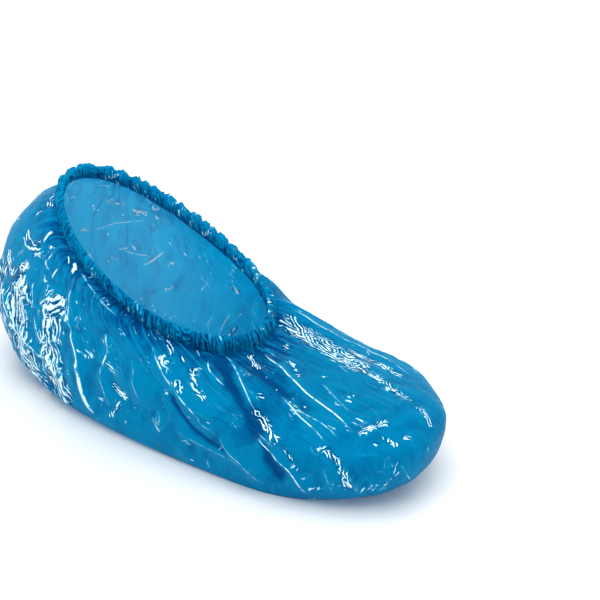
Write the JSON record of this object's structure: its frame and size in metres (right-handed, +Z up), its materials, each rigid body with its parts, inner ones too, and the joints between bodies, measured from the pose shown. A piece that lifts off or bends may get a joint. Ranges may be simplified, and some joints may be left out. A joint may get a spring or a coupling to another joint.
{
  "type": "shoe cover",
  "caption": "Thin film overshoe with a flat sole, a creased upper and a gathered elastic hem round the foot opening.",
  "frame": {"origin": "on the floor under the middle of the cover's box, centred lengthways and across", "axes": "+X to the toe, +Y to the wearer's left, +Z up from the sole"},
  "size_m": [0.3054, 0.1235, 0.1366],
  "materials": {
    "blue_film": "thin glossy polyethylene film, see-through",
    "hem_film": "the same film, folded and gathered",
    "elastic_thread": "matt covered elastic cord"
  },
  "bodies": {
    "root": {"film_body": "blue_film", "gathered_hem": "hem_film", "elastic_band": "elastic_thread"}
  },
  "joints": []
}
